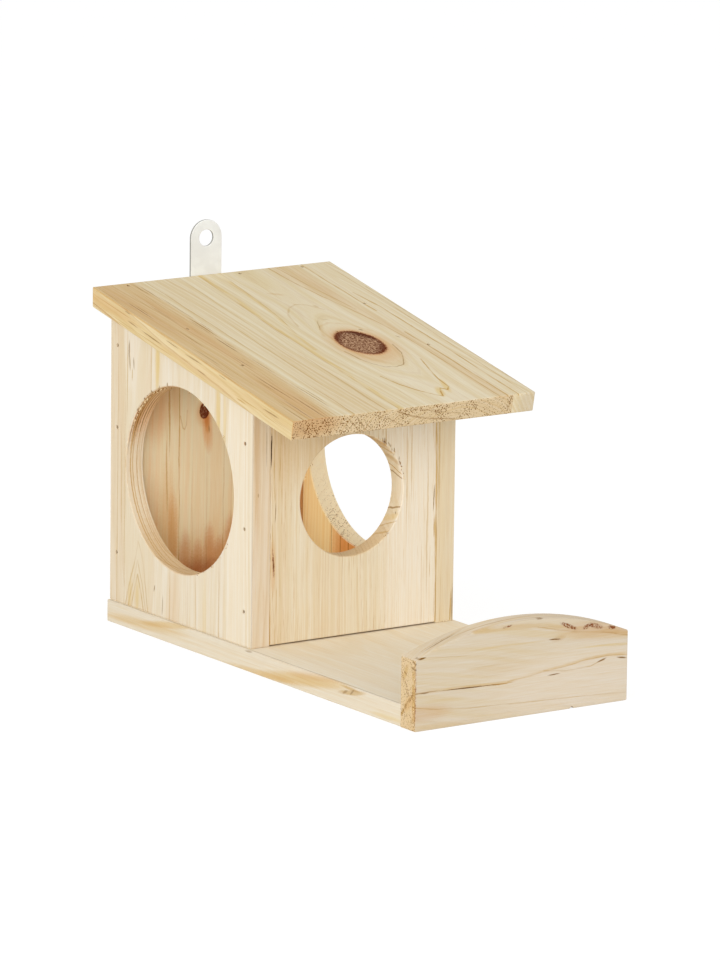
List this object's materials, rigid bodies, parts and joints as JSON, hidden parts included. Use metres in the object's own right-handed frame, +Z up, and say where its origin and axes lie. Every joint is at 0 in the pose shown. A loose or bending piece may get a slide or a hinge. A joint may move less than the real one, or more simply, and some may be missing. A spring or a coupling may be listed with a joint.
{
  "type": "squirrel feeder box",
  "caption": "Nailed softwood feeder: lean-to house with a round opening in three walls, on a long base board with an arched lip, and a steel strap to hang it by.",
  "frame": {"origin": "on the ground plane, at the middle of the whole object's outline seen from above", "axes": "+Z up, -Y towards the front with the arched lip board, +X to the right seen from the front"},
  "size_m": [0.135, 0.2624, 0.1895],
  "materials": {
    "base_wood": "sawn and sanded, unpainted",
    "lip_wood": "sawn and sanded, unpainted",
    "left_panel_wood": "sawn and sanded, unpainted",
    "right_panel_wood": "sawn and sanded, unpainted",
    "front_panel_wood": "sawn and sanded, unpainted",
    "back_panel_wood": "sawn and sanded, unpainted",
    "roof_wood": "sawn and sanded, unpainted",
    "strap_steel": "pale zinc, satin",
    "screw_steel": "satin",
    "nail_steel": "dull"
  },
  "bodies": {
    "root": {"base_board": "base_wood", "lip_board": "lip_wood", "left_side_panel": "left_panel_wood", "right_side_panel": "right_panel_wood", "front_panel": "front_panel_wood", "back_panel": "back_panel_wood", "roof_board": "roof_wood", "hanger_strap": "strap_steel", "strap_screw_upper": "screw_steel", "strap_screw_lower": "screw_steel", "roof_nail_1": "nail_steel", "roof_nail_2": "nail_steel", "roof_nail_3": "nail_steel", "roof_nail_4": "nail_steel", "roof_nail_5": "nail_steel", "roof_nail_6": "nail_steel", "roof_nail_7": "nail_steel", "left_nail_1": "nail_steel", "left_nail_2": "nail_steel", "left_nail_3": "nail_steel", "left_nail_4": "nail_steel", "left_nail_5": "nail_steel", "left_nail_6": "nail_steel", "right_nail_1": "nail_steel", "right_nail_2": "nail_steel", "right_nail_3": "nail_steel", "right_nail_4": "nail_steel", "right_nail_5": "nail_steel", "right_nail_6": "nail_steel", "base_nail_1": "nail_steel", "base_nail_2": "nail_steel", "base_nail_3": "nail_steel", "base_nail_4": "nail_steel", "base_nail_5": "nail_steel", "base_nail_6": "nail_steel", "base_nail_7": "nail_steel", "base_nail_8": "nail_steel"}
  },
  "joints": []
}
